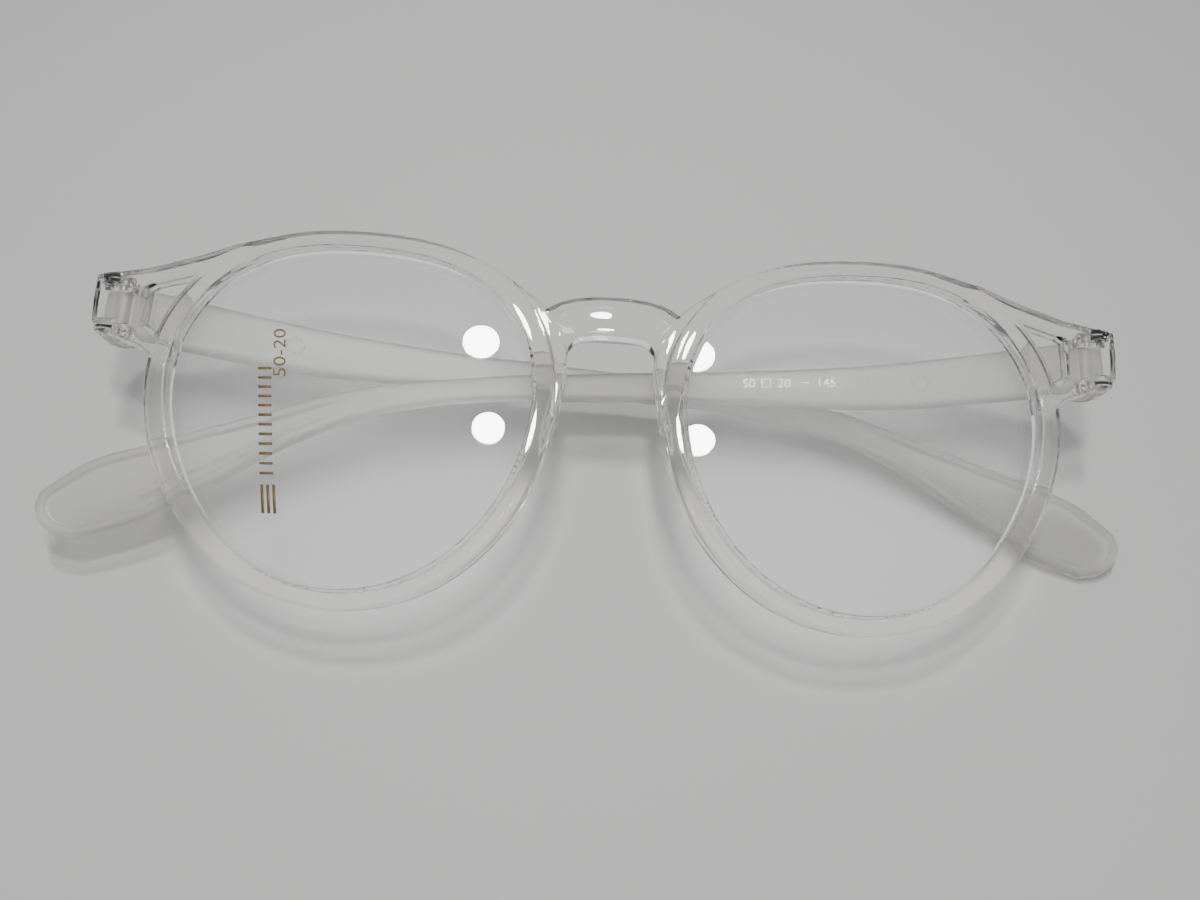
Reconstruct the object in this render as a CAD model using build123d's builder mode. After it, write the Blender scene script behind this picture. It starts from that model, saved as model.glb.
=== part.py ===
"""Folding eyeglasses with a clear moulded front and frosted temples, lying folded with the front up.

Everything is drawn in the front's own frame and placed by one plane, FRONT: x runs across the
front, y up the front towards its top edge, and z out of its outer face. FRONT leans the folded
pair back so that its lowest point is at z = 0.
Side +1 is the wearer's left (+X) and side -1 the wearer's right (-X). Millimetres throughout.
"""

import os
from math import cos, exp, pi, radians, sin, tan

from build123d import *

os.makedirs("parts", exist_ok=True)

# How the folded pair lies
REST_TILT = 15.5  # top edge of the front raised, degrees
REST_ROLL = 0.0  # wearer's right side raised, degrees
REST_AT = (-0.25, -0.30, 21.74)  # the middle of the bridge's outer face

# Lenses: the 50-20-145 size that is marked on the temple
LENS_WIDTH = 50.0
BRIDGE_GAP = 20.0
EYE_X = (LENS_WIDTH + BRIDGE_GAP) / 2
LENS_RADIUS = 24.73  # mean radius of the lens outline
LENS_WIDER = 0.50  # outline terms, in mm of radius: width over height,
LENS_LEAN = -0.65  # the lean of the shape towards the temple,
LENS_PANTO = 0.97  # a flatter top on a rounder bottom,
LENS_SQUARE = -0.23  # and slightly squared corners
LENS_CURVE = 132.5  # radius of the dummy lens's outer surface, a base 4 curve
LENS_THICKNESS = 1.2
LENS_CROWN = 0.9  # how far the middle of the lens stands proud of the rim's face
POLES_ASIDE = (90, 0, 0)  # turns a sphere so that its poles are clear of the lens
OUTLINE_POINTS = 24

# Front
FACE_WRAP = 4.2  # each rim leans back from the bridge by this, degrees
RIM_DEPTH = 3.8
RIM_WIDTH = 2.46  # from the lens edge to the rim's outer edge, mean round the rim
RIM_WIDTH_SIDES = 0.31  # more at the sides than at the top and bottom
FLANGE_WIDTH = 2.0  # the rim's extra width where it meets the bridge
FLANGE_ANGLE = 20.5  # where that is greatest, degrees above the nose side
FLANGE_SPREAD = 15.5
RIM_POINTS = 48
RIM_ROUNDING = 0.8
OPENING_STEP = 0.4  # how far the rim covers the lens edge
GROOVE_PLAY = 0.04
BRIDGE_DEPTH = 3.4
BRIDGE_SET_BACK = 0.25
BRIDGE_ROUNDING = 0.8
BRIDGE_TOP = ((12.0, 13.4), (9.1, 14.65), (6, 15.9), (0, 16.4))  # the right half, out to in
BRIDGE_ARCH = ((6.3, 7.2), (5.6, 9.5), (3.5, 10.4), (0, 10.5))
BRIDGE_END = ((12.0, 13.4), (10.0, 5.0), (6.3, 7.2))  # hidden in the rim
END_SET_BACK = 0.5
END_DEPTH = 2.9

# Nose pads, moulded on the backs of the rims
PAD_CENTRE = (9.6, 0.6, -5.0)
PAD_RADII = (2.1, 6.8, 3.3)
PAD_SPLAY = 24.0
PAD_FLARE = 14.0

# Hinges: two clear knuckles on the front, one frosted knuckle on the temple, and a screw
HINGE_X = 69.2
HINGE_Y = 13.4  # the middle of the hinge's height
HINGE_BEHIND = 5.8  # from the rim plane back to the pin's axis
HINGE_Z = -HINGE_X * tan(radians(FACE_WRAP)) - HINGE_BEHIND
KNUCKLE_RADIUS = 2.0
LOWER_KNUCKLE = (9.2, 10.7)
UPPER_KNUCKLE = (16.0, 17.7)
TEMPLE_KNUCKLE = (10.8, 15.9)
TEMPLE_KNUCKLE_RADIUS = 2.3
HEEL = 2.3  # from the pin's axis to the squared end that stops the open temple
OPEN_ANGLE = 92.0  # between the folded and the open temple
SCREW_RADIUS = 0.7
SCREW_HEAD_RADIUS = 1.15
SCREW_HEAD_HEIGHT = 0.7
SCREW_SLOT = (0.3, 0.3)  # width and depth
SCREW_PLAY = 0.01
TEMPLE_HOLE_RADIUS = 0.76

# Temples: distances from the pin's axis, heights from the middle of the hinge
TEMPLE_TOP = (
    (2.35, 3.7),
    (10, 2.4),
    (27, -0.3),
    (48, -2.5),
    (69, -3.8),
    (88, -5.9),
    (104, -8.7),
    (118, -13.8),
    (131, -18.6),
    (140, -22.4),
    (144.6, -26.4),
)
TEMPLE_TIP = ((144.6, -26.4), (144.0, -30.4), (139.0, -32.5))
TEMPLE_BOTTOM = (
    (139.0, -32.5),
    (131, -29.4),
    (122, -23.6),
    (113, -17.5),
    (104, -13.2),
    (94, -10.4),
    (82, -8.8),
    (69, -8.0),
    (48, -7.5),
    (27, -7.0),
    (12, -5.2),
    (2.35, -3.7),
)
# The same in plan: depth behind the pin's axis, bowed out a little along the middle
TEMPLE_INNER = ((2.35, -1.5), (20, -0.4), (45, 0.8), (70, 1.1), (95, 0.5), (120, -0.8), (150, -2.7))
TEMPLE_OUTER = ((2.35, 1.6), (20, 2.4), (45, 3.2), (70, 3.3), (95, 2.7), (120, 1.4), (150, -0.5))
TEMPLE_LEAN = {1: 0.0, -1: 2.9}  # the wearer's right temple lies behind the left one, degrees
TEMPLE_DROOP = {1: 0.0, -1: -1.25}  # and hangs a little higher, degrees
REACH = 60.0  # longer than any cut that it is used for

SIDES = {1: "left", -1: "right"}

FRONT = Plane(Location(REST_AT, (REST_TILT, REST_ROLL, 0)))


def front_at(x=0.0, y=0.0, z=0.0, turn=0.0):
    """A plane parallel to the front's face at a point, turned about the upright y direction."""
    return FRONT * Location((x, y, z), (0, turn, 0))


def rim_plane(side):
    """The plane of one rim's outer face."""
    return front_at(turn=side * FACE_WRAP)


def plan_at(x, y, z, turn=0.0):
    """A plane across the upright direction: its x runs across the front and its y to the back."""
    return front_at(x, y, z, turn) * Location((0, 0, 0), (-90, 0, 0))


def lens_radius(angle):
    """Radius of the lens outline at an angle from the nose side, towards the top."""
    wider = LENS_WIDER * cos(2 * angle) + LENS_LEAN * sin(2 * angle)
    corners = LENS_PANTO * sin(3 * angle) + LENS_SQUARE * cos(4 * angle)
    return LENS_RADIUS + wider + corners


def rim_radius(angle):
    """Radius of the rim's outer edge, widened where the rim meets the bridge."""
    away = ((angle + pi) % (2 * pi) - pi - radians(FLANGE_ANGLE)) / radians(FLANGE_SPREAD)
    flange = FLANGE_WIDTH * exp(-away * away)
    return lens_radius(angle) + RIM_WIDTH + RIM_WIDTH_SIDES * cos(2 * angle) + flange


def eye_outline(side, radius, grow=0.0, points=OUTLINE_POINTS):
    """Points round one eye in its rim's plane."""
    angles = [2 * pi * i / points for i in range(points)]
    return [
        (side * (EYE_X - (radius(a) + grow) * cos(a)), (radius(a) + grow) * sin(a)) for a in angles
    ]


def make_lens(side, grow=0.0):
    """A dummy lens: a spherical shell cut to the outline, grown a little for its groove."""
    with BuildPart() as lens:
        with BuildSketch(rim_plane(side)):
            with BuildLine():
                Spline(*eye_outline(side, lens_radius, grow), periodic=True)
            make_face()
        extrude(amount=2 * RIM_DEPTH, both=True)
        with Locations(rim_plane(side) * Location((side * EYE_X, 0, LENS_CROWN - LENS_CURVE))):
            Sphere(LENS_CURVE + grow, rotation=POLES_ASIDE, mode=Mode.INTERSECT)
            Sphere(LENS_CURVE - LENS_THICKNESS - grow, rotation=POLES_ASIDE, mode=Mode.SUBTRACT)
    return lens


def make_rim(side):
    """One rim as a solid plate with rounded outer edges; its opening is cut later."""
    with BuildPart() as rim:
        with BuildSketch(rim_plane(side)):
            with BuildLine():
                Spline(*eye_outline(side, rim_radius, points=RIM_POINTS), periodic=True)
            make_face()
        extrude(amount=-RIM_DEPTH)
        fillet(rim.faces().filter_by(GeomType.PLANE).edges(), RIM_ROUNDING)
    return rim


def mirrored(half):
    """A symmetric run of points from its right half, whose last point is on the middle line."""
    return [*half, *[(-x, y) for x, y in half[-2::-1]]]


def make_bridge():
    """The saddle bridge, running into both rims."""
    with BuildPart() as bridge:
        with BuildSketch(front_at(z=-BRIDGE_SET_BACK)):
            with BuildLine():
                Spline(*mirrored(BRIDGE_TOP))
                Polyline(*BRIDGE_END)
                Spline(*mirrored(BRIDGE_ARCH))
                Polyline(*[(-x, y) for x, y in BRIDGE_END])
            make_face()
        extrude(amount=-BRIDGE_DEPTH)
        long_edges = bridge.faces().filter_by(GeomType.PLANE).edges().filter_by(GeomType.BSPLINE)
        fillet(long_edges, BRIDGE_ROUNDING)
    return bridge


def make_pad(side):
    """A moulded nose pad: an ellipsoid leaning out towards its bottom and its back."""
    x, y, z = PAD_CENTRE
    ellipsoid = scale(Sphere(1.0), by=PAD_RADII)
    place = front_at(side * x, y, z) * Location((0, 0, 0), (0, -side * PAD_SPLAY, side * PAD_FLARE))
    with BuildPart() as pad:
        add(ellipsoid.moved(place))
    return pad


def make_end_piece(side):
    """The web that runs from the rim to the hinge, with its two knuckles."""
    with BuildPart() as end:
        with BuildSketch(front_at(turn=side * FACE_WRAP, z=-END_SET_BACK)):
            with BuildLine():
                Polyline(
                    (side * 57.5, 3.0),
                    (side * 62.5, 5.2),
                    (side * 68.0, 8.6),
                    (side * 71.9, 9.4),
                    (side * 71.9, 17.5),
                    (side * 67.0, 18.0),
                    (side * 60.6, 19.8),
                    (side * 53.5, 22.6),
                    (side * 46.0, 23.4),
                    close=True,
                )
            make_face()
        extrude(amount=-END_DEPTH)
        for low, high in (LOWER_KNUCKLE, UPPER_KNUCKLE):
            with BuildSketch(plan_at(side * HINGE_X, low, HINGE_Z)):
                Circle(KNUCKLE_RADIUS)
                with Locations((0, -HINGE_BEHIND / 2 + END_SET_BACK)):
                    Rectangle(2 * KNUCKLE_RADIUS, HINGE_BEHIND - 2 * END_SET_BACK)
            extrude(amount=high - low)
    return end


def make_temple(side):
    """One temple: its side view crossed with its plan, and the knuckle at its end."""
    lean = -side * TEMPLE_LEAN[side]
    low, high = TEMPLE_KNUCKLE
    side_view = front_at(side * HINGE_X, HINGE_Y, HINGE_Z, lean)
    with BuildPart() as temple:
        with BuildSketch(side_view * Location((0, 0, 0), (0, 0, side * TEMPLE_DROOP[side]))):
            with BuildLine():
                Spline(*[(-side * along, up) for along, up in TEMPLE_TOP])
                Spline(*[(-side * along, up) for along, up in TEMPLE_TIP])
                Spline(*[(-side * along, up) for along, up in TEMPLE_BOTTOM])
                Line(*[(-side * along, up) for along, up in (TEMPLE_BOTTOM[-1], TEMPLE_TOP[0])])
            make_face()
        extrude(amount=REACH, both=True)
        with BuildSketch(plan_at(side * HINGE_X, HINGE_Y - REACH, HINGE_Z, lean)):
            with BuildLine():
                inner = Spline(*[(-side * along, back) for along, back in TEMPLE_INNER])
                outer = Spline(*[(-side * along, back) for along, back in TEMPLE_OUTER])
                Line(inner @ 0, outer @ 0)
                Line(inner @ 1, outer @ 1)
            make_face()
        extrude(amount=2 * REACH, mode=Mode.INTERSECT)
        with BuildSketch(plan_at(side * HINGE_X, low, HINGE_Z, lean)):
            Circle(TEMPLE_KNUCKLE_RADIUS)
            with Locations((-side * TEMPLE_KNUCKLE_RADIUS, 0)):
                Rectangle(2 * TEMPLE_KNUCKLE_RADIUS, -2 * TEMPLE_INNER[0][1])
            with Locations(Location((0, 0, 0), (0, 0, side * (OPEN_ANGLE - 90 + FACE_WRAP)))):
                with Locations((side * HEEL / 2, TEMPLE_OUTER[0][1] / 2)):
                    Rectangle(HEEL, TEMPLE_OUTER[0][1])
        extrude(amount=high - low)
        with BuildSketch(plan_at(side * HINGE_X, low, HINGE_Z, lean)):
            Circle(TEMPLE_HOLE_RADIUS)
        extrude(amount=high - low, mode=Mode.SUBTRACT)
    return temple


def make_screw(side):
    """A slotted hinge screw, entered from above."""
    top = UPPER_KNUCKLE[1]
    with BuildPart() as screw:
        with BuildSketch(plan_at(side * HINGE_X, LOWER_KNUCKLE[0], HINGE_Z)):
            Circle(SCREW_RADIUS)
        extrude(amount=top - LOWER_KNUCKLE[0])
        with BuildSketch(plan_at(side * HINGE_X, top - SCREW_HEAD_HEIGHT, HINGE_Z)):
            Circle(SCREW_HEAD_RADIUS)
        extrude(amount=SCREW_HEAD_HEIGHT)
        with BuildSketch(plan_at(side * HINGE_X, top - SCREW_SLOT[1], HINGE_Z)):
            Rectangle(3 * SCREW_HEAD_RADIUS, SCREW_SLOT[0])
        extrude(amount=SCREW_SLOT[1], mode=Mode.SUBTRACT)
    return screw


rims = [make_rim(side) for side in SIDES]
end_pieces = [make_end_piece(side) for side in SIDES]
pads = [make_pad(side) for side in SIDES]
bridge = make_bridge()
grooves = [make_lens(side, GROOVE_PLAY) for side in SIDES]

with BuildPart() as front_frame:
    for piece in (*rims, *end_pieces, *pads, bridge):
        add(piece.part)
    for side in SIDES:
        with BuildSketch(rim_plane(side)):
            with BuildLine():
                Spline(*eye_outline(side, lens_radius, -OPENING_STEP), periodic=True)
            make_face()
        extrude(amount=2 * RIM_DEPTH, both=True, mode=Mode.SUBTRACT)
        with BuildSketch(plan_at(side * HINGE_X, LOWER_KNUCKLE[0], HINGE_Z)):
            Circle(SCREW_RADIUS + SCREW_PLAY)
        extrude(amount=UPPER_KNUCKLE[1] - LOWER_KNUCKLE[0], mode=Mode.SUBTRACT)
        with BuildSketch(plan_at(side * HINGE_X, UPPER_KNUCKLE[1] - SCREW_HEAD_HEIGHT, HINGE_Z)):
            Circle(SCREW_HEAD_RADIUS + SCREW_PLAY)
        extrude(amount=SCREW_HEAD_HEIGHT, mode=Mode.SUBTRACT)
    for groove in grooves:
        add(groove.part, mode=Mode.SUBTRACT)
front_frame.part.label = "front_frame"
export_step(front_frame.part, "parts/front_frame.step")

for side, name in SIDES.items():
    lens = make_lens(side)
    lens.part.label = "lens_" + name
    export_step(lens.part, "parts/lens_" + name + ".step")

    temple = make_temple(side)
    temple.part.label = "temple_" + name
    export_step(temple.part, "parts/temple_" + name + ".step")

    screw = make_screw(side)
    screw.part.label = "hinge_screw_" + name
    export_step(screw.part, "parts/hinge_screw_" + name + ".step")
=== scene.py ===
import bpy
import numpy as np
import openvdb
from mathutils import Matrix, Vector


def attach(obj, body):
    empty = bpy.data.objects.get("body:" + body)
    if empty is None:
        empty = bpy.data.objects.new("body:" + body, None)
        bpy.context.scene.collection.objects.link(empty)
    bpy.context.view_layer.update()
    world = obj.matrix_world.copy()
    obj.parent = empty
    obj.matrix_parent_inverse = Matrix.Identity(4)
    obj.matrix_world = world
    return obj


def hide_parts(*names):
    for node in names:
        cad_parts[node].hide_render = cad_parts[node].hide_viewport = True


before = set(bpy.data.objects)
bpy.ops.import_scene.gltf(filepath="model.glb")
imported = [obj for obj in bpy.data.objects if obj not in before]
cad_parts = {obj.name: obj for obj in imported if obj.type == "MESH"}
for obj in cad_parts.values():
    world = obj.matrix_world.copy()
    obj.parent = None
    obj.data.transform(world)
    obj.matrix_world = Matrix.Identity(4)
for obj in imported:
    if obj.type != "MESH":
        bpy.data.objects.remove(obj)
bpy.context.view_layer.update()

# The table top and the lamps: plain off-white card with a faint tooth, two small round lamps close
# above, and a room that is bright overhead and dim round the horizon.

card = bpy.data.materials.new("card")
card.use_nodes = True
nodes, links = card.node_tree.nodes, card.node_tree.links
shader = nodes["Principled BSDF"]
shader.inputs["Base Color"].default_value = (0.37, 0.368, 0.366, 1)
shader.inputs["Roughness"].default_value = 0.75
shader.inputs["Specular IOR Level"].default_value = 0.2
where = nodes.new("ShaderNodeTexCoord")
tooth = nodes.new("ShaderNodeTexNoise")
tooth.inputs["Scale"].default_value = 900
tooth.inputs["Detail"].default_value = 3
bump = nodes.new("ShaderNodeBump")
bump.inputs["Strength"].default_value = 0.06
bump.inputs["Distance"].default_value = 0.0002
links.new(where.outputs["Object"], tooth.inputs["Vector"])
links.new(tooth.outputs["Fac"], bump.inputs["Height"])
links.new(bump.outputs["Normal"], shader.inputs["Normal"])

FLOOR_HALF = 1.5  # metres
floor_mesh = bpy.data.meshes.new("floor")
corners = [(x * FLOOR_HALF, y * FLOOR_HALF, 0) for x, y in ((-1, -1), (1, -1), (1, 1), (-1, 1))]
floor_mesh.from_pydata(corners, [], [(0, 1, 2, 3)])
floor_mesh.materials.append(card)
table_top = bpy.data.objects.new("table_top", floor_mesh)
bpy.context.scene.collection.objects.link(table_top)


def round_lamp(name, place, across, watts):
    """A round area light, in metres. It stands at place, points at the table's middle and doesn't
    show itself."""
    light = bpy.data.lights.new(name, "AREA")
    light.shape = "DISK"
    light.size = across
    light.energy = watts
    light.color = (1.0, 0.99, 0.97)
    holder = bpy.data.objects.new(name, light)
    holder.location = place
    holder.rotation_mode = "QUATERNION"
    holder.rotation_quaternion = Vector(place).to_track_quat("Z", "Y")
    holder.visible_camera = False
    bpy.context.scene.collection.objects.link(holder)


round_lamp("round_lamp_far", (-0.0174, 0.1106, 0.4400), 0.050, 1.15)
round_lamp("round_lamp_near", (-0.0043, -0.0104, 0.2632), 0.028, 0.38)

room = bpy.data.worlds.new("room")
bpy.context.scene.world = room
room.use_nodes = True
nodes, links = room.node_tree.nodes, room.node_tree.links
way = nodes.new("ShaderNodeTexCoord")
height = nodes.new("ShaderNodeSeparateXYZ")
sky = nodes.new("ShaderNodeValToRGB")
sky.color_ramp.elements[0].color = (0.10, 0.10, 0.103, 1)
sky.color_ramp.elements[1].color = (0.90, 0.90, 0.92, 1)
for at, level in ((0.30, 0.17), (0.62, 0.60)):
    stop = sky.color_ramp.elements.new(at)
    stop.color = (level, level, level * 1.02, 1)
links.new(way.outputs["Generated"], height.inputs["Vector"])
links.new(height.outputs["Z"], sky.inputs["Fac"])
links.new(sky.outputs["Color"], nodes["Background"].inputs["Color"])
nodes["Background"].inputs["Strength"].default_value = 1.25

camera_data = bpy.data.cameras.new("camera")
camera_data.sensor_width = 36
camera_data.lens = 28.5
camera_data.clip_start = 0.005
camera = bpy.data.objects.new("camera", camera_data)
camera.location = (-0.004288, -0.068207, 0.125398)
camera.rotation_euler = np.radians((30.690, -2.845, 1.956))
bpy.context.scene.collection.objects.link(camera)
bpy.context.scene.camera = camera

# The moulded front: rims, bridge, nose pads, end pieces and hinge lugs in one piece of clear
# plastic, injection moulded and polished, with a groove inside each rim for the lens. It is worked
# out in its own frame in mm: u across, v up the front, n out of its outer face.

FRONT_TILT = np.radians(15.5)  # how far the front leans back as it lies folded
FRONT_AT = np.array([-0.25, -0.30, 21.74])
WRAP = np.radians(4.2)  # how far each half turns back from the bridge
EYE_U = 35.0  # half the distance between the lens centres
RIM_DEPTH = 3.8
OPENING_STEP = 0.4  # how far the opening stays inside the lens's edge
LENS_CURVE = 132.5
LENS_CROWN = 0.9  # how far the middle of the lens stands in front of the ring's face
LENS_THICKNESS = 1.2
HINGE_U, HINGE_V = 69.2, 13.4
PIN_BACK = 5.8  # how far the hinge pin lies behind the front's face
HINGE_N = -HINGE_U * np.tan(WRAP) - PIN_BACK
SCREW_HOLE = 0.78  # radius


def round_max(a, b, r):
    """Inside both a and b, with the edge between them rounded: past the edge, the distance is
    measured from a centre line r inside each."""
    return np.minimum(np.maximum(a, b), -r) + np.hypot(np.maximum(a + r, 0), np.maximum(b + r, 0))


def round_min(a, b, r):
    """Inside either a or b, with the corner between them filled to radius r: the inverse of
    round_max."""
    return -round_max(-a, -b, r)


def between(x, low, high):
    """Distance outside the layer from low to high, negative inside it."""
    return np.maximum(low - x, x - high)


def outline_distance(x, y, corners):
    """Signed distance to a closed outline: that to its nearest run, negative where a ray to one
    side crosses an odd number of runs."""
    near = np.full(np.broadcast(x, y).shape, 1e3, np.float32)
    inside = np.zeros(near.shape, bool)
    for (x0, y0), (x1, y1) in zip(corners, np.roll(corners, -1, axis=0)):
        run = np.array([x1 - x0, y1 - y0], np.float32)
        along = np.clip(((x - x0) * run[0] + (y - y0) * run[1]) / (run @ run), 0, 1)
        near = np.minimum(near, np.hypot(x - x0 - along * run[0], y - y0 - along * run[1]))
        if y0 != y1:
            inside ^= ((y0 > y) != (y1 > y)) & (x < x0 + (y - y0) * (run[0] / run[1]))
    return np.where(inside, -near, near)


def lens_radius(t):
    """The lens outline: a circle, plus its second to fourth harmonics in the angle t from the nose
    side."""
    second = 24.73 + 0.50 * np.cos(2 * t) - 0.65 * np.sin(2 * t)
    return second + 0.97 * np.sin(3 * t) - 0.23 * np.cos(4 * t)


def rim_radius(t):
    """The ring's outer edge: the lens outline plus the ring's width, which is least at the top and
    bottom."""
    return lens_radius(t) + 2.46 + 0.31 * np.cos(2 * t)


def swelling(t, middle, spread):
    """A bell over the angle t, 1 at middle and fading out over spread, both in degrees: the share
    of a flange or of a nose pad."""
    away = (np.mod(t + np.pi, 2 * np.pi) - np.pi - np.radians(middle)) / np.radians(spread)
    return np.exp(-away * away)


# Half the bridge and one end piece, seen from the front, and the hollow in the end piece, in mm.
BRIDGE = np.array([
    (-6, 16.4), (2, 16.35), (4.9, 16.05), (6.8, 15.55), (9.2, 14.4), (12, 13.0), (12, 8), (8, 5.0),
    (6.3, 7.2), (6.1, 8.2), (5.75, 9.1), (5.2, 9.8), (4.3, 10.3), (2.5, 10.5), (-6, 10.5),
])
END_PIECE = np.array([
    (57, 2), (61, 5.0), (64.1, 6.9), (68.4, 8.8), (70.6, 9.5), (71.5, 10.6), (71.8, 14),
    (71.8, 17.5), (67.8, 18.2), (64.4, 18.75), (57.6, 20.8), (52.3, 22.9), (46, 24.0), (46, 20),
])
END_POCKET = np.array([
    (48, 21.4), (56, 18.9), (63.6, 16.9), (64.9, 16.0), (64.9, 10.2), (62, 8.0), (58, 6), (48, 12),
])
EDGE = 0.42  # rounding of the moulding's outer edges
OPENING_EDGE = 0.38
FLANGE_AT, FLANGE_SPREAD, FLANGE_WIDTH = 20.5, 15.5, 2.0
FLANGE_BACK = 3.5
PAD_AT, PAD_SPREAD, PAD_DEPTH = -3.0, 17.0, 3.3
PAD_SPLAY = 0.45
LUG_RADIUS = 2.0
LOWER_LUG, UPPER_LUG = (9.2, 10.7), (16.0, 17.7)
GROOVE_HALF, GROOVE_SPARE = 0.68, 0.08
HEAD_HOLE, HEAD_FLOOR = 1.24, 17.0


def front_field(u, v, n):
    """Signed distance to the front. Each ring and its flange is a disc with a face domed over its
    width, whose back swells into the nose pad. It is joined to a domed bridge, to an end piece
    drawn from the front and to round lugs. The opening, the lens's groove and the screw's hole are
    then taken out."""
    u = np.abs(u)
    across = u * np.cos(WRAP) - n * np.sin(WRAP)
    depth = u * np.sin(WRAP) + n * np.cos(WRAP)
    radius = np.hypot(across - EYE_U, v)
    angle = np.arctan2(v + 0 * across, EYE_U - across)
    lens_edge = radius - lens_radius(angle)
    rim_edge = radius - rim_radius(angle)
    inner = np.clip(lens_edge + OPENING_STEP, 0, 9)

    pad = swelling(angle, PAD_AT, PAD_SPREAD)
    splay = PAD_SPLAY * np.maximum(-2.6 - depth, 0) * pad
    ring_face = depth + (inner + 0.15) ** 2 / 18
    ring_back = -RIM_DEPTH - PAD_DEPTH * pad - depth
    ring_edge = EDGE + 0.75 * pad * (depth < -2.2)
    shape = round_max(rim_edge + splay, np.maximum(ring_face, ring_back), ring_edge)

    bell = swelling(angle, FLANGE_AT, FLANGE_SPREAD)
    flange_edge = rim_edge - FLANGE_WIDTH * bell
    flange_face = depth + 0.40 + 0.35 * (1 - bell) ** 2 + (inner - 2.8) ** 2 / 12
    flange_layer = np.maximum(flange_face, -FLANGE_BACK - depth)
    shape = round_min(shape, round_max(flange_edge, flange_layer, EDGE), 0.15)

    bridge_depth = n + np.hypot(u * np.tan(WRAP), 0.2)
    bridge_face = bridge_depth + (v - 12.5) ** 2 / 34 + np.clip(11.4 - v, 0, 9) ** 2 / 8.6
    bridge_face = bridge_face + 0.7 * np.clip((1.4 - flange_edge) / 2.2, 0, 1)
    bridge_layer = np.maximum(bridge_face, -FLANGE_BACK - bridge_depth)
    bridge = round_max(outline_distance(u, v, BRIDGE), bridge_layer, EDGE)
    shape = round_min(shape, bridge, 0.35)

    pocket = np.clip(-outline_distance(u, v, END_POCKET) / 0.9, 0, 1)
    pocket = pocket * pocket * (3 - 2 * pocket)
    web_layer = between(depth, -3.4 + 0.5 * pocket, -0.30 - 0.85 * pocket)
    web = round_max(outline_distance(u, v, END_PIECE), web_layer, EDGE)
    lug = np.hypot(u - HINGE_U, n - np.clip(n, HINGE_N, HINGE_N + 4)) - LUG_RADIUS
    lugs = round_max(lug, np.minimum(between(v, *LOWER_LUG), between(v, *UPPER_LUG)), 0.25)
    shape = round_min(shape, round_min(web, lugs, 0.4), 0.45)

    shape = round_max(shape, -(lens_edge + OPENING_STEP), OPENING_EDGE)
    from_centre = np.sqrt((across - EYE_U) ** 2 + v * v + (depth - LENS_CROWN + LENS_CURVE) ** 2)
    shell = from_centre - LENS_CURVE + LENS_THICKNESS / 2
    groove = np.maximum(np.abs(shell) - GROOVE_HALF, lens_edge - GROOVE_SPARE)
    shape = np.maximum(shape, -groove)
    pin = np.hypot(u - HINGE_U, n - HINGE_N)
    head_seat = np.maximum(pin - HEAD_HOLE, HEAD_FLOOR - v)
    return np.maximum(shape, -np.minimum(pin - SCREW_HOLE, head_seat))


def slope_of(field, points, reach=0.02):
    """The field's slope at each point, from its change over a short reach each way along each
    axis."""
    steps = reach * np.eye(3)
    changes = [field(*(points + step).T) - field(*(points - step).T) for step in steps]
    return np.stack(changes, axis=1) / (2 * reach)


def moulded(name, field, low, high, step, place, material):
    """The closed surface where field is zero. It is read off a grid of the given step, then each
    point moves down the field's slope onto it. place turns the piece's own mm into metres."""
    sides = [np.arange(a, b + step, step, dtype=np.float32) for a, b in zip(low, high)]
    distances = field(*np.meshgrid(*sides, indexing="ij", sparse=True))
    grid = openvdb.FloatGrid(1.0)
    grid.copyFromArray(np.ascontiguousarray(distances, dtype=np.float32))
    points, triangles, quads = grid.convertToPolygons(0.0)
    points = points.astype(np.float64) * step + np.array(low)
    for _ in range(3):
        slope = slope_of(field, points)
        move = -(field(*points.T) / np.maximum((slope**2).sum(1), 0.2))[:, None] * slope
        points = points + np.clip(move, -0.4 * step, 0.4 * step)
    normals = place(points + slope_of(field, points)) - place(points)
    normals /= np.linalg.norm(normals, axis=1)[:, None] + 1e-12
    return skinned(name, place(points), [*triangles.tolist(), *quads.tolist()], material, normals)


def skinned(name, points, faces, material, normals=None):
    """A smooth mesh piece from points and faces. All its faces are turned round if its volume,
    summed from its triangles, comes out negative."""
    mesh = bpy.data.meshes.new(name)
    mesh.from_pydata(points, [], faces)
    mesh.calc_loop_triangles()
    tri = np.zeros(3 * len(mesh.loop_triangles), np.int32)
    mesh.loop_triangles.foreach_get("vertices", tri)
    a, b, c = points[tri.reshape(-1, 3)].transpose(1, 0, 2)
    if np.einsum("ij,ij->i", a, np.cross(b, c)).sum() < 0:
        mesh.flip_normals()
    mesh.polygons.foreach_set("use_smooth", np.ones(len(mesh.polygons), bool))
    if normals is not None:
        mesh.normals_split_custom_set_from_vertices(normals.tolist())
    mesh.materials.append(material)
    piece = bpy.data.objects.new(name, mesh)
    bpy.context.scene.collection.objects.link(piece)
    return piece


def front_to_world(points):
    """The front's own mm into metres on the table: leaned back about X, then set in place."""
    u, v, n = points.T
    cos, sin = np.cos(FRONT_TILT), np.sin(FRONT_TILT)
    return (np.stack([u, v * cos - n * sin, v * sin + n * cos], axis=1) + FRONT_AT) / 1000


def lets_lamps_through(material, share):
    """Clear plastic throws only a light shadow: rays on their way to a lamp pass straight through
    it, dimmed to share."""
    nodes, links = material.node_tree.nodes, material.node_tree.links
    path = nodes.new("ShaderNodeLightPath")
    opening = nodes.new("ShaderNodeBsdfTransparent")
    opening.inputs["Color"].default_value = (share, share, share, 1)
    choice = nodes.new("ShaderNodeMixShader")
    links.new(path.outputs["Is Shadow Ray"], choice.inputs["Fac"])
    links.new(nodes["Principled BSDF"].outputs["BSDF"], choice.inputs[1])
    links.new(opening.outputs["BSDF"], choice.inputs[2])
    links.new(choice.outputs["Shader"], nodes["Material Output"].inputs["Surface"])


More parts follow.
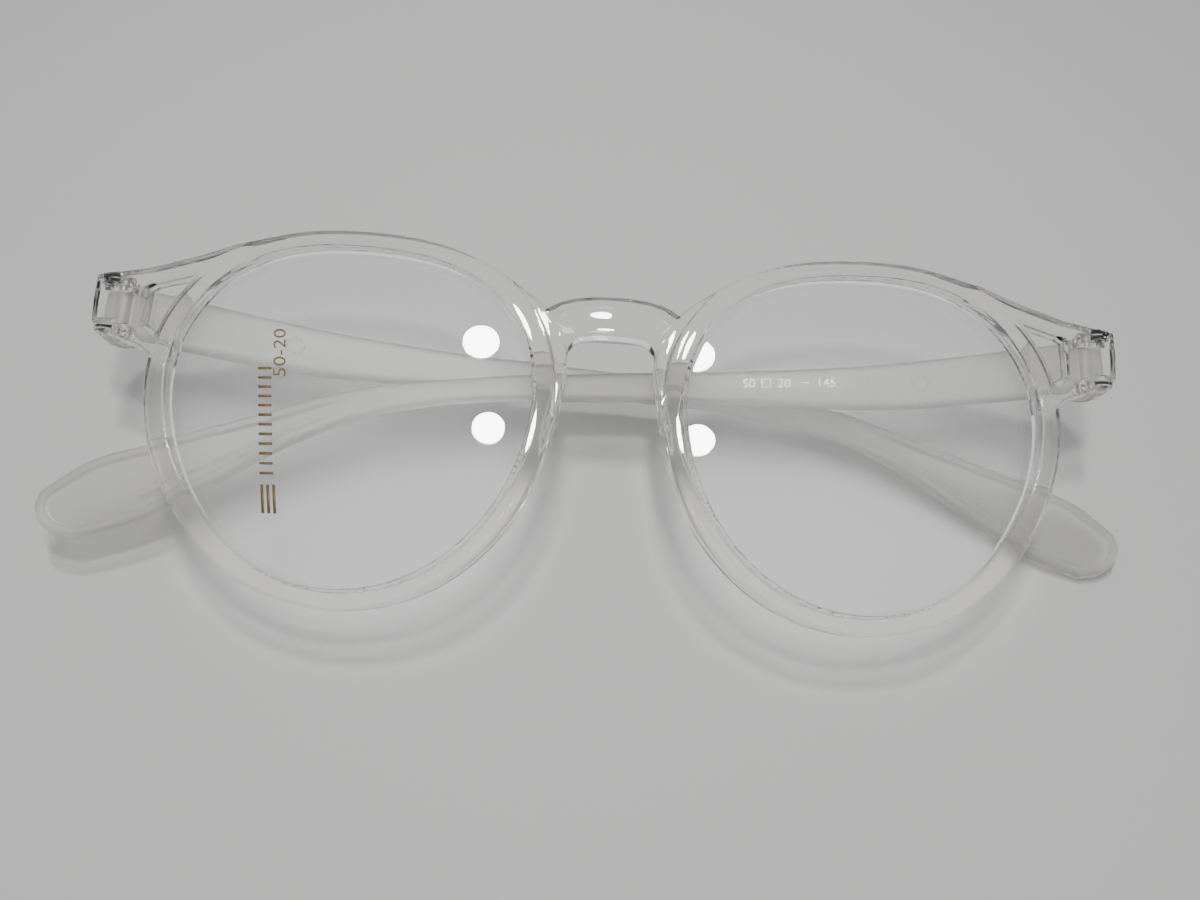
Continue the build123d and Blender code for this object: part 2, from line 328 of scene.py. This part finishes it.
clear = bpy.data.materials.new("clear_plastic")
clear.use_nodes = True
nodes, links = clear.node_tree.nodes, clear.node_tree.links
shader = nodes["Principled BSDF"]
shader.inputs["Roughness"].default_value = 0.02
shader.inputs["IOR"].default_value = 1.49
shader.inputs["Transmission Weight"].default_value = 1.0
where = nodes.new("ShaderNodeTexCoord")
haze = nodes.new("ShaderNodeTexNoise")
haze.inputs["Scale"].default_value = 60
haze.inputs["Detail"].default_value = 2
tint = nodes.new("ShaderNodeValToRGB")
tint.color_ramp.elements[0].color = (0.955, 0.950, 0.932, 1)
tint.color_ramp.elements[1].color = (0.985, 0.982, 0.970, 1)
links.new(where.outputs["Object"], haze.inputs["Vector"])
links.new(haze.outputs["Fac"], tint.inputs["Fac"])
links.new(tint.outputs["Color"], shader.inputs["Base Color"])
lets_lamps_through(clear, 0.25)

FRONT_LOW, FRONT_HIGH = (-73, -28.2, -13.6), (73, 26.8, 1.0)
front = moulded("clear_front", front_field, FRONT_LOW, FRONT_HIGH, 0.28, front_to_world, clear)
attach(front, "front")
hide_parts("front_frame")

# The dummy lenses: thin shells of clear plastic with no power, each edged to its rim's outline
# and snapped into the groove.

LENS_PLAY = 0.02  # between the lens's edge and its outline
BEVEL_START, BEVEL_RUN, BEVEL_DEPTH = 0.985, 0.015, 0.12


def lens_surface(side):
    """One closed surface on a grid of angle and radius: out over the front sphere, round the edge
    and back over the rear one, r running from near 0 to the outline and back."""
    t = np.linspace(0, 2 * np.pi, 192, endpoint=False)[None, :]
    out = np.concatenate([np.linspace(0.02, 0.97, 40), [BEVEL_START, 0.995, 1.0]])
    share = np.concatenate([out, out[::-1]])[:, None]
    rear = (np.arange(share.size) >= out.size)[:, None]
    r = share * (lens_radius(t) - LENS_PLAY)
    sphere = LENS_CURVE - LENS_THICKNESS * rear
    bevel = BEVEL_DEPTH * np.clip((share - BEVEL_START) / BEVEL_RUN, 0, 1) * np.where(rear, 1, -1)
    across = EYE_U - r * np.cos(t)
    up = r * np.sin(t)
    depth = LENS_CROWN - LENS_CURVE + np.sqrt(sphere**2 - r**2) + bevel
    u = side * (across * np.cos(WRAP) + depth * np.sin(WRAP))
    return u, up, depth * np.cos(WRAP) - across * np.sin(WRAP)


def woven(name, grid, place, material):
    """A closed mesh of quads over a grid of rows and columns: the columns close round, and one
    face closes each end row."""
    rows, columns = grid[0].shape
    points = np.stack([g.ravel() for g in grid], axis=1)
    i, j = np.meshgrid(np.arange(rows - 1), np.arange(columns), indexing="ij")
    a, b = i * columns + j, i * columns + (j + 1) % columns
    quads = np.stack([a, b, b + columns, a + columns], axis=-1).reshape(-1, 4).tolist()
    ends = [list(range(columns))[::-1], list(range((rows - 1) * columns, rows * columns))]
    return skinned(name, place(points), quads + ends, material)


lens_plastic = bpy.data.materials.new("lens_plastic")
lens_plastic.use_nodes = True
shader = lens_plastic.node_tree.nodes["Principled BSDF"]
shader.inputs["Base Color"].default_value = (0.985, 0.987, 0.99, 1)
shader.inputs["Roughness"].default_value = 0.0
shader.inputs["IOR"].default_value = 1.50
shader.inputs["Transmission Weight"].default_value = 1.0
lets_lamps_through(lens_plastic, 0.55)

for side, name in ((1, "left"), (-1, "right")):
    lens = woven("clear_lens_" + name, lens_surface(side), front_to_world, lens_plastic)
    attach(lens, "front")
    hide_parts("lens_" + name)

# The print on the dummy lens: the eye size in figures and a column of plain strokes, both reading
# upwards, printed in gold ink on the outer face of the right lens.

gold = bpy.data.materials.new("gold_ink")
gold.use_nodes = True
nodes, links = gold.node_tree.nodes, gold.node_tree.links
shader = nodes["Principled BSDF"]
shader.inputs["Metallic"].default_value = 0.4
shader.inputs["Roughness"].default_value = 0.45
where = nodes.new("ShaderNodeTexCoord")
speckle = nodes.new("ShaderNodeTexNoise")
speckle.inputs["Scale"].default_value = 1500
ink = nodes.new("ShaderNodeValToRGB")
ink.color_ramp.elements[0].color = (0.085, 0.056, 0.018, 1)
ink.color_ramp.elements[1].color = (0.19, 0.125, 0.046, 1)
links.new(where.outputs["Object"], speckle.inputs["Vector"])
links.new(speckle.outputs["Fac"], ink.inputs["Fac"])
links.new(ink.outputs["Color"], shader.inputs["Base Color"])

INK = 0.03  # mm thick
FIGURE_HEIGHT = 0.7  # of a figure, in lettering of size 1


def figures(words, height):
    """The outlines of the words as points and faces, in mm: x along the line from its start, y up
    the figures, z through the ink."""
    curve = bpy.data.curves.new("figures", "FONT")
    curve.body = words
    curve.size = height / FIGURE_HEIGHT
    curve.extrude = INK / 2
    curve.resolution_u = 3
    drawn = bpy.data.objects.new("figures", curve)
    mesh = bpy.data.meshes.new_from_object(drawn)
    points = np.zeros(3 * len(mesh.vertices))
    mesh.vertices.foreach_get("co", points)
    faces = [list(face.vertices) for face in mesh.polygons]
    bpy.data.objects.remove(drawn)
    return points.reshape(-1, 3), faces


def strokes(boxes):
    """Flat bars as points and faces: each box is its left, bottom, right and top in mm."""
    points, faces = [], []
    for left, bottom, right, top in boxes:
        x, y, z = np.meshgrid([left, right], [bottom, top], [-INK / 2, INK / 2], indexing="ij")
        start = len(points)
        points.extend(np.stack([x.ravel(), y.ravel(), z.ravel()], axis=1))
        bar = ((0, 1, 3, 2), (4, 6, 7, 5), (0, 4, 5, 1), (2, 3, 7, 6), (0, 2, 6, 4), (1, 5, 7, 3))
        faces.extend([start + k for k in face] for face in bar)
    return np.array(points), faces


def together(*shapes):
    """Several shapes' points and faces as one."""
    starts = np.cumsum([0] + [len(points) for points, _ in shapes])
    groups = [group for _, group in shapes]
    faces = [[k + start for k in face] for group, start in zip(groups, starts) for face in group]
    return np.concatenate([points for points, _ in shapes]), faces


PRINT_SLANT = 0.15  # mm outwards for each mm up the lens
PRINT_AWAY = 9.6  # from the lens's centre
PRINT_LIFT = 0.02


def on_lens(points):
    """Lays print on the right lens, reading up it: x runs up the lens and y away from the nose,
    slanted a little, on the lens's outer sphere."""
    x, y, z = points.T
    away, up = PRINT_AWAY + y + PRINT_SLANT * x, x
    depth = LENS_CROWN - LENS_CURVE + np.sqrt(LENS_CURVE**2 - away**2 - up**2) + PRINT_LIFT + z
    across = EYE_U + away
    u = -(across * np.cos(WRAP) + depth * np.sin(WRAP))
    return front_to_world(np.stack([u, up, depth * np.cos(WRAP) - across * np.sin(WRAP)], axis=1))


SIZE_LENGTH, SIZE_HEIGHT, SIZE_AT = 6.9, 1.75, (2.8, -1.95, 0)
SHORT_PITCH, LONG_PITCH = 1.3, 0.8
size, size_faces = figures("50-20", SIZE_HEIGHT)
size = size * (SIZE_LENGTH / np.ptp(size[:, 0]), 1, 1) + SIZE_AT
short_ones = [(-10.4 + SHORT_PITCH * k, 0, -10.04 + SHORT_PITCH * k, 1.85) for k in range(12)]
long_ones = [(-15.4, -0.2 + LONG_PITCH * k, -11.7, 0.2 + LONG_PITCH * k) for k in range(3)]
points, faces = together((size, size_faces), strokes(short_ones + long_ones))
lens_print = skinned("gold_print", on_lens(points), faces, gold)
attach(lens_print, "front")

# The temples: frosted plastic, each moulded in one piece with its hinge knuckle. They thin out
# from the hinge to the bend and end in a wide paddle with a raised border.

# The side view's upper line, tip and lower line, and the plan's two faces, in mm from the pin.
TOP = np.array([
    (2.35, 3.7), (10, 2.4), (27, -0.3), (48, -2.5), (69, -3.8), (88, -5.9), (104, -8.7),
    (118, -13.8), (131, -18.6), (140, -22.4), (144.6, -26.4),
])
TIP = np.array([(145.0, -28.5), (144.2, -30.6), (142.2, -32.0)])
BOTTOM = np.array([
    (2.35, -3.7), (12, -5.2), (27, -7.0), (48, -7.5), (69, -8.0), (82, -8.8), (94, -10.4),
    (104, -13.2), (113, -17.5), (122, -23.6), (131, -29.4), (139.0, -32.5),
])
INNER = np.array([
    (2.35, -1.5), (20, -0.4), (45, 0.8), (70, 1.1), (95, 0.5), (120, -0.8), (150, -2.7),
])
OUTER = np.array([
    (2.35, 1.6), (20, 2.4), (45, 3.2), (70, 3.3), (95, 2.7), (120, 1.4), (150, -0.5),
])
PADDLE_START, PADDLE_INSET, PADDLE_BORDER = 104, 0.40, 1.1
RIDGE_HEIGHT, RIDGE_FALL, RIDGE_HALF = 0.22, 0.62, 0.55
RING_AT, RING_RADIUS, RING_HALF, RING_CUT = (24, -3.4), 1.15, 0.22, 0.12
KNUCKLE_RADIUS = 2.3
HEEL_TILT = np.radians(6.2)
# By side, 1 for the left and -1 for the right: how far open a temple lies, and how it rises.
LEAN = {1: 0.0, -1: np.radians(2.9)}
RISE = {1: 0.0, -1: np.tan(np.radians(1.25))}


def flowing(x, knots):
    """A smooth curve through the knots: on each stretch, the cubic that takes both ends' heights
    and slopes."""
    at, height = knots.T
    slope = np.gradient(height, at)
    k = np.clip(np.searchsorted(at, x) - 1, 0, len(at) - 2)
    width = at[k + 1] - at[k]
    t = np.clip((x - at[k]) / width, -0.5, 1.5)
    return (
        height[k] * (1 + 2 * t) * (1 - t) ** 2 + slope[k] * width * t * (1 - t) ** 2
        + height[k + 1] * t * t * (3 - 2 * t) + slope[k + 1] * width * t * t * (t - 1)
    )


top_line = np.linspace(TOP[0, 0], TOP[-1, 0], 64)
bottom_line = np.linspace(BOTTOM[-1, 0], BOTTOM[0, 0], 64)
SIDE_VIEW = np.concatenate([
    np.stack([top_line, flowing(top_line, TOP)], axis=1), TIP,
    np.stack([bottom_line, flowing(bottom_line, BOTTOM)], axis=1),
])


def temple_field(side):
    """Signed distance to a temple, in mm along it, up it and behind the pin. Its side view and its
    plan, each a distance, meet in rounded edges. The knuckle, a cylinder round the pin with a neck
    and a heel, is joined on, and the pin's hole taken out."""

    def field(along, up, behind):
        level = up - RISE[side] * along
        edge = outline_distance(along, level, SIDE_VIEW)
        on_paddle = np.clip((along - PADDLE_START) / 10, 0, 1)
        inset = np.clip((-edge - PADDLE_BORDER) / 0.5, 0, 1)
        from_ridge = np.abs(level + RIDGE_FALL * (along - PADDLE_START) + 9.6)
        ridge = np.clip(1 - from_ridge / RIDGE_HALF, 0, 1) * (along < 132)
        thinner = PADDLE_INSET * inset * inset * (3 - 2 * inset) - RIDGE_HEIGHT * ridge
        faces = np.maximum(flowing(along, INNER) - behind, behind - flowing(along, OUTER))
        plan = faces + on_paddle * thinner
        from_ring = np.hypot(along - RING_AT[0], level - RING_AT[1]) - RING_RADIUS
        ring = np.clip((RING_HALF - np.abs(from_ring)) / 0.2, 0, 1)
        plan = plan + RING_CUT * ring * (behind < 1)
        blade = round_max(edge, plan, 0.75)

        from_pin = np.hypot(along, behind)
        neck = np.maximum(between(along, 0, 4.6), between(behind, -1.5, 1.5))
        heel_along = -along * np.cos(HEEL_TILT) + behind * np.sin(HEEL_TILT)
        heel_behind = behind * np.cos(HEEL_TILT) + along * np.sin(HEEL_TILT)
        heel = np.maximum(between(heel_along, 0, KNUCKLE_RADIUS), between(heel_behind, 0, 1.6))
        knuckle = np.minimum(np.minimum(from_pin - KNUCKLE_RADIUS, neck), heel)
        knuckle = round_max(knuckle, between(up, -2.6, 2.5), 0.25)
        return np.maximum(round_min(blade, knuckle, 0.3), -(from_pin - SCREW_HOLE))

    return field


def temple_to_world(side):
    """Turns a temple's own mm about its pin by the angle at which it lies folded, and then as the
    front does."""

    def place(points):
        along, up, behind = points.T
        lean = LEAN[side]
        u = side * (HINGE_U - along * np.cos(lean) + behind * np.sin(lean))
        n = HINGE_N - along * np.sin(lean) - behind * np.cos(lean)
        return front_to_world(np.stack([u, HINGE_V + up, n], axis=1))

    return place


frosted = bpy.data.materials.new("frosted_plastic")
frosted.use_nodes = True
nodes, links = frosted.node_tree.nodes, frosted.node_tree.links
shader = nodes["Principled BSDF"]
shader.inputs["Base Color"].default_value = (0.64, 0.64, 0.62, 1)
shader.inputs["IOR"].default_value = 1.49
shader.inputs["Transmission Weight"].default_value = 0.86
where = nodes.new("ShaderNodeTexCoord")
blast = nodes.new("ShaderNodeTexNoise")
blast.inputs["Scale"].default_value = 4000
blast.inputs["Detail"].default_value = 2
patch = nodes.new("ShaderNodeTexNoise")
patch.inputs["Scale"].default_value = 45
dull = nodes.new("ShaderNodeMapRange")
dull.inputs["To Min"].default_value = 0.42
dull.inputs["To Max"].default_value = 0.55
bump = nodes.new("ShaderNodeBump")
bump.inputs["Strength"].default_value = 0.15
bump.inputs["Distance"].default_value = 0.00003
links.new(where.outputs["Object"], blast.inputs["Vector"])
links.new(where.outputs["Object"], patch.inputs["Vector"])
links.new(patch.outputs["Fac"], dull.inputs["Value"])
links.new(dull.outputs["Result"], shader.inputs["Roughness"])
links.new(blast.outputs["Fac"], bump.inputs["Height"])
links.new(bump.outputs["Normal"], shader.inputs["Normal"])
lets_lamps_through(frosted, 0.25)

TEMPLE_LOW, TEMPLE_HIGH = (-3, -33.5, -4.5), (146, 5.2, 4.8)
for side, name in ((1, "left"), (-1, "right")):
    temple = moulded(
        "frosted_temple_" + name, temple_field(side), TEMPLE_LOW, TEMPLE_HIGH, 0.3,
        temple_to_world(side), frosted,
    )
    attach(temple, "temple_" + name)
    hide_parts("temple_" + name)

# The size marks: the eye size, the boxed gap and the temple's length, stamped in white ink on the
# inner face of the left temple.

white = bpy.data.materials.new("white_ink")
white.use_nodes = True
nodes, links = white.node_tree.nodes, white.node_tree.links
shader = nodes["Principled BSDF"]
shader.inputs["Roughness"].default_value = 0.6
where = nodes.new("ShaderNodeTexCoord")
worn = nodes.new("ShaderNodeTexNoise")
worn.inputs["Scale"].default_value = 1800
ink = nodes.new("ShaderNodeValToRGB")
ink.color_ramp.elements[0].color = (0.82, 0.82, 0.82, 1)
ink.color_ramp.elements[1].color = (0.95, 0.95, 0.95, 1)
links.new(where.outputs["Object"], worn.inputs["Vector"])
links.new(worn.outputs["Fac"], ink.inputs["Fac"])
links.new(ink.outputs["Color"], shader.inputs["Base Color"])

MARK_HEIGHT = 1.35
MARKS_START, MARKS_LEVEL, MARKS_SLOPE, MARKS_LIFT = 50.9, -5.35, 0.055, 0.01


def on_temple(points):
    """Lays a line of print on the left temple's inner face: its x runs towards the hinge and its y
    up the temple."""
    x, y, z = points.T
    along = MARKS_START - x
    up = y + MARKS_LEVEL + MARKS_SLOPE * x
    return temple_to_world(1)(np.stack([along, up, flowing(along, INNER) - MARKS_LIFT - z], axis=1))


def marked(words, start):
    """The words as a size mark that starts at the given x."""
    points, faces = figures(words, MARK_HEIGHT)
    return points + (start, 0, 0), faces


box_and_dash = strokes([
    (4.0, 0, 4.15, 1.35), (5.2, 0, 5.35, 1.35), (4.15, 0, 5.2, 0.15), (4.15, 1.2, 5.2, 1.35),
    (9.6, 0.6, 10.8, 0.75),
])
points, faces = together(marked("50", 1.2), box_and_dash, marked("20", 6.3), marked("145", 11.9))
stamp = skinned("size_marks", on_temple(points), faces, white)
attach(stamp, "temple_left")

# The hinge screws: small slotted steel screws, turned and left bright, each driven down through
# the front's two lugs and the temple's knuckle between them.

steel = bpy.data.materials.new("screw_steel")
steel.use_nodes = True
nodes, links = steel.node_tree.nodes, steel.node_tree.links
shader = nodes["Principled BSDF"]
shader.inputs["Base Color"].default_value = (0.58, 0.57, 0.56, 1)
shader.inputs["Metallic"].default_value = 1.0
where = nodes.new("ShaderNodeTexCoord")
turned = nodes.new("ShaderNodeTexNoise")
turned.inputs["Scale"].default_value = 2500
worn = nodes.new("ShaderNodeMapRange")
worn.inputs["To Min"].default_value = 0.22
worn.inputs["To Max"].default_value = 0.42
links.new(where.outputs["Object"], turned.inputs["Vector"])
links.new(turned.outputs["Fac"], worn.inputs["Value"])
links.new(worn.outputs["Result"], shader.inputs["Roughness"])
for name in ("left", "right"):
    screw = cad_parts["hinge_screw_" + name]
    screw.data.materials.clear()
    screw.data.materials.append(steel)
